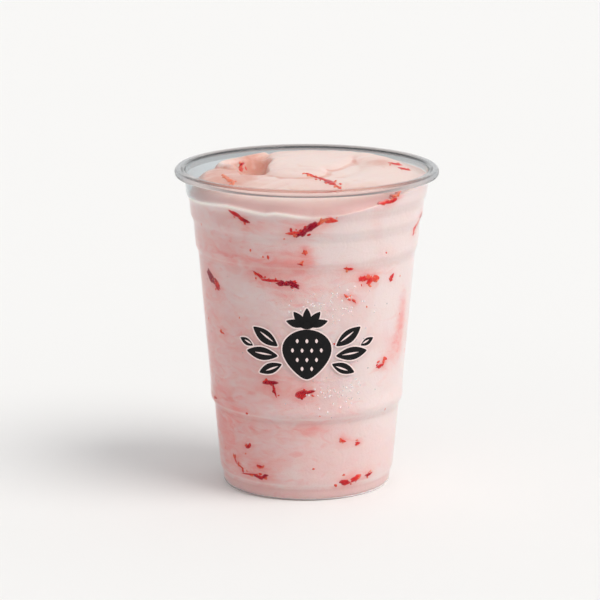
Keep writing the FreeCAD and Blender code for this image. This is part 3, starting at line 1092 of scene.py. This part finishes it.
# rows of seeds (height, number), turns of the calyx and leaves (x, y, width, height, turn), mm and degrees
SEED_ROWS, SEED_GAP = ((2.6, 3), (-1.0, 4), (-4.6, 3), (-8.0, 2)), 3.5
CALYX_TURNS = (15, 52, 90, 128, 165)
LEAVES = (
    (15.6, 3.6, 11.5, 5.0, 34), (17.0, -3.0, 12.5, 5.0, 4),
    (13.6, -8.4, 9.5, 4.0, -24), (23.4, 0.8, 6.0, 2.8, 22),
)


def leaf(x, y, wide, high, turn, count=30):
    """A closed outline in mm: an ellipse drawn in to a point at both ends."""
    t = np.arange(count) * (2 * math.pi / count)
    along, across = np.cos(t) * wide / 2, np.sin(t) * (1 - 0.55 * np.cos(t) ** 2) * high / 2
    right, up = turned(along, across, turn)
    return np.column_stack([x + right, y + up])


def berry(wide, high, count=56):
    """A strawberry's outline in mm, broad above and pointed below."""
    t = np.arange(count) * (2 * math.pi / count)
    taper = 1 + 0.30 * np.cos(t) - 0.10 * np.cos(2 * t)
    return np.column_stack([wide / 2 * np.sin(t) * taper, high / 2 * np.cos(t) - 2.5])


def grown(shape, margin):
    """The outline moved outwards by a margin."""
    run = np.roll(shape, -1, axis=0) - np.roll(shape, 1, axis=0)
    side = np.column_stack([run[:, 1], -run[:, 0]]) / np.hypot(run[:, 0], run[:, 1])[:, None]
    outwards = 1 if np.sum(side * (shape - shape.mean(axis=0))) > 0 else -1
    return shape + outwards * margin * side


def print_shapes():
    """Each shape as its outline and its holes."""
    seeds = [
        leaf((k - (count - 1) / 2) * SEED_GAP, height, 1.7, 1.1, 90, 12)
        for height, count in SEED_ROWS for k in range(count)
    ]
    shapes = [(berry(16.0, 19.0), seeds)]
    for turn in CALYX_TURNS:
        c, s = math.cos(math.radians(turn)), math.sin(math.radians(turn))
        shapes.append((leaf(4.3 * c, 8.4 + 3.2 * s, 7.0, 3.0, turn), []))
    shapes.append((leaf(0, 8.9, 7.0, 3.6, 0), []))
    for side in (-1, 1):
        for x, y, wide, high, turn in LEAVES:
            vein = leaf(side * (x - 0.6), y, wide * 0.55, 0.7, side * turn, 14)
            shapes.append((leaf(side * x, y, wide, high, side * turn), [vein]))
    return shapes


# %% Cut the print into strips and wrap it
def flat_shape(outlines, thickness):
    """Outlines in mm, filled, as a mesh in metres."""
    curve = bpy.data.curves.new("artwork", "CURVE")
    curve.dimensions = "2D"
    curve.fill_mode = "BOTH"
    curve.extrude = thickness / 2
    for outline_points in outlines:
        spline = curve.splines.new("POLY")
        spline.points.add(len(outline_points) - 1)
        spline.use_cyclic_u = True
        for point, (x, y) in zip(spline.points, outline_points * MM):
            point.co = (x, y, 0, 1)
    drawing = bpy.data.objects.new("artwork", curve)
    mesh = bpy.data.meshes.new_from_object(drawing)
    bpy.data.objects.remove(drawing)
    return mesh


def wrapped(mesh, lift):
    """Points and faces of a flat mesh, cut into strips and laid round the wall."""
    work = bmesh.new()
    work.from_mesh(mesh)
    bmesh.ops.remove_doubles(work, verts=work.verts, dist=0.001 * MM)
    low, high = min(v.co.x for v in work.verts), max(v.co.x for v in work.verts)
    for k in range(math.ceil(low / STRIP), math.floor(high / STRIP) + 1):
        parts = list(work.verts) + list(work.edges) + list(work.faces)
        bmesh.ops.bisect_plane(work, geom=parts, plane_co=(k * STRIP, 0, 0), plane_no=(1, 0, 0), dist=1e-9)
    bmesh.ops.triangulate(work, faces=work.faces)
    work.verts.ensure_lookup_table()
    points = []
    for vertex in work.verts:
        height = PRINT_HEIGHT + vertex.co.y
        radius = outside_radius(height) + lift + vertex.co.z
        bearing = -math.pi / 2 + vertex.co.x / outside_radius(height)
        points.append((radius * math.cos(bearing), radius * math.sin(bearing), height))
    faces = [tuple(v.index for v in face.verts) for face in work.faces]
    work.free()
    return points, faces


def print_layer(name, shapes, lift, finish):
    points, faces = [], []
    for outlines in shapes:
        more, more_faces = wrapped(flat_shape(outlines, INK_THICKNESS), lift)
        faces += [tuple(v + len(points) for v in face) for face in more_faces]
        points += more
    new_piece(name, points, faces, finish, sharp_angle=40)


def ink_finish(name, dark, light):
    ink = Recipe(name)
    wear = ink.noise(1.2 * MM, 3)
    sockets = {
        "Base Color": ink.blend(wear, dark, light),
        "Roughness": 0.45 + 0.2 * wear,
        "Specular IOR Level": 0.12,
    }
    return ink.finish(ink.node("ShaderNodeBsdfPrincipled", None, sockets))


pale_ink = ink_finish("pale_ink", colour(0.84, 0.66, 0.64), colour(0.88, 0.72, 0.70))
black_ink = ink_finish("black_ink", colour(0.004, 0.004, 0.005), colour(0.012, 0.011, 0.011))
shapes = print_shapes()
print_layer("print_pale", [[grown(shape, PALE_MARGIN)] for shape, _ in shapes], PALE_LIFT, pale_ink)
print_layer("print_black", [[shape] + holes for shape, holes in shapes], BLACK_LIFT, black_ink)


# %% [markdown]
# ## Beads of water
#
# A cold cup in a warm room mists over, and the mist gathers into tiny beads. Each is a low dome of
# clear water, well under a millimetre across. They are scattered in loose patches by a seeded
# generator and joined into one mesh, which costs far less than separate objects.

# %% Scatter the beads
BEAD_SPOKES, BEAD_RINGS = 10, 3
BEAD_SIZES, BEAD_RISE, BEAD_BITE = (0.12, 0.40), 0.28, 0.02 * MM
# bearing, height, spread along and up in mm, number of beads
MIST = ((-79, 77, 14, 6, 74), (-72, 41, 9, 6, 58), (-60, 58, 7, 12, 10), (90, 60, 60, 26, 60))


def bead(bearing, height, size):
    """A low dome on the outside of the wall."""
    points = []
    for ring in range(BEAD_RINGS + 1):
        lean = ring / BEAD_RINGS * math.pi / 2
        for k in range(BEAD_SPOKES if ring < BEAD_RINGS else 1):
            turn = 2 * math.pi * k / BEAD_SPOKES
            along, up = size * math.cos(lean) * math.cos(turn), size * math.cos(lean) * math.sin(turn)
            radius = outside_radius(height + up) - BEAD_BITE + BEAD_RISE * size * math.sin(lean)
            angle = bearing + along / radius
            points.append((radius * math.cos(angle), radius * math.sin(angle), height + up))
    return np.array(points)


def water_with_painted_glint():
    water = Recipe("water")
    # A half-clear white: a painted highlight that makes each clear bead show as a tiny light dot.
    sockets = {"Base Color": colour(1, 0.95, 0.94), "Roughness": 0.35, "IOR": 1.33, "Alpha": 0.38}
    pale = water.node("ShaderNodeBsdfPrincipled", None, sockets)
    return water.finish_clear(pale, colour(1, 1, 1))


def make_beads():
    beads = []
    for bearing, height, along, up, count in MIST:
        for _ in range(count):
            place = height * MM + random.normal() * up * MM / 1.6
            angle = math.radians(bearing) + random.normal() * along * MM / 1.6 / outside_radius(place)
            beads.append(bead(angle, place, random.uniform(*BEAD_SIZES) * MM))
    tip = BEAD_RINGS * BEAD_SPOKES
    faces = ring_faces(BEAD_RINGS, BEAD_SPOKES)
    faces += fan_faces(tip, tip - BEAD_SPOKES, BEAD_SPOKES)
    faces.append(tuple(range(BEAD_SPOKES))[::-1])
    points, all_faces = joined(beads, faces)
    new_piece("water_beads", points, all_faces, water_with_painted_glint())


make_beads()


# %% [markdown]
# ## Floor, light and camera
#
# The cup stands on a wide pale floor that runs out of view, so no horizon shows. One soft sun from
# the right gives the shading across the cup and the long shadow on the left. The sky is a pale studio: it
# is bright all round and darker overhead, and the clear rim needs that dark part to draw its lines.

# %% Floor
FLOOR_HALF = 6.0


def make_floor():
    corners = [(-FLOOR_HALF, -FLOOR_HALF, 0), (FLOOR_HALF, -FLOOR_HALF, 0),
               (FLOOR_HALF, FLOOR_HALF, 0), (-FLOOR_HALF, FLOOR_HALF, 0)]
    mesh = bpy.data.meshes.new("floor")
    mesh.from_pydata(corners, [], [(0, 1, 2, 3)])
    floor = bpy.data.objects.new("floor", mesh)
    bpy.context.scene.collection.objects.link(floor)
    paper = Recipe("studio_floor")
    faint = paper.noise(0.4, 2)
    sockets = {
        "Base Color": paper.blend(faint, colour(0.862, 0.853, 0.836), colour(0.872, 0.862, 0.845)),
        "Roughness": 0.9,
        "Specular IOR Level": 0.1,
    }
    mesh.materials.append(paper.finish(paper.node("ShaderNodeBsdfPrincipled", None, sockets)))


make_floor()


# %% Sky and sun
SKY_STRENGTH = 1.265
SUN_STRENGTH = 1.63
SUN_BEARING, SUN_ELEVATION, SUN_WIDTH = -28.0, 53.0, 36.0
BACKDROP = colour(0.913, 0.905, 0.888)


def make_sky():
    sky = Recipe("studio_sky")
    world = bpy.data.worlds.new("studio_sky")
    world.use_nodes = True
    bpy.data.materials.remove(sky.material)
    sky.tree = world.node_tree
    sky.tree.nodes.clear()
    place = sky.node("ShaderNodeTexCoord")
    up = sky.node("ShaderNodeSeparateXYZ", None, {0: place}, output=2)
    right = sky.node("ShaderNodeSeparateXYZ", None, {0: place}, output=0)
    overhead = sky.clamp(0.45, up, 0.85)
    sideways = 0.85 + 0.075 * right
    tint = sky.blend(overhead, colour(1.0, 1.0, 1.0), colour(0.35, 0.36, 0.38))
    lit = sky.node("ShaderNodeBackground", None, {"Color": tint, "Strength": SKY_STRENGTH * sideways})
    seen = sky.node("ShaderNodeBackground", None, {"Color": BACKDROP, "Strength": 1.0})
    camera_ray = sky.node("ShaderNodeLightPath", output=0)
    both = sky.node("ShaderNodeMixShader", None, {0: camera_ray, 1: lit, 2: seen})
    sky.node("ShaderNodeOutputWorld", None, {"Surface": both})
    bpy.context.scene.world = world


def make_sun():
    lamp = bpy.data.lights.new("sun", "SUN")
    lamp.energy = SUN_STRENGTH
    lamp.angle = math.radians(SUN_WIDTH)
    lamp.color = (1.0, 0.99, 0.97)
    sun = bpy.data.objects.new("sun", lamp)
    bearing, elevation = math.radians(SUN_BEARING), math.radians(SUN_ELEVATION)
    towards = Vector((math.cos(bearing) * math.cos(elevation), math.sin(bearing) * math.cos(elevation),
                      math.sin(elevation)))
    sun.location = towards
    sun.rotation_euler = towards.to_track_quat("Z", "Y").to_euler()
    bpy.context.scene.collection.objects.link(sun)


make_sky()
make_sun()


# %% [markdown]
# ## Camera
#
# A long lens from over a metre away keeps the cup's sides nearly straight, as in a product shot. It
# looks down a little, so that the open rim and the top of the drink are seen together.

# %% Camera
CAMERA_DISTANCE, CAMERA_HEIGHT, CAMERA_SIDE = 1.124, 0.327, -2.5 * MM
CAMERA_PITCH, CAMERA_LENS = 12.92, 185.0


def make_camera():
    lens = bpy.data.cameras.new("camera")
    lens.lens = CAMERA_LENS
    lens.sensor_width = 36.0
    camera = bpy.data.objects.new("camera", lens)
    camera.location = (CAMERA_SIDE, -CAMERA_DISTANCE, CAMERA_HEIGHT)
    camera.rotation_euler = (math.radians(90 - CAMERA_PITCH), 0, 0)
    bpy.context.scene.collection.objects.link(camera)
    bpy.context.scene.camera = camera
    bpy.context.scene.view_settings.view_transform = "Standard"


make_camera()
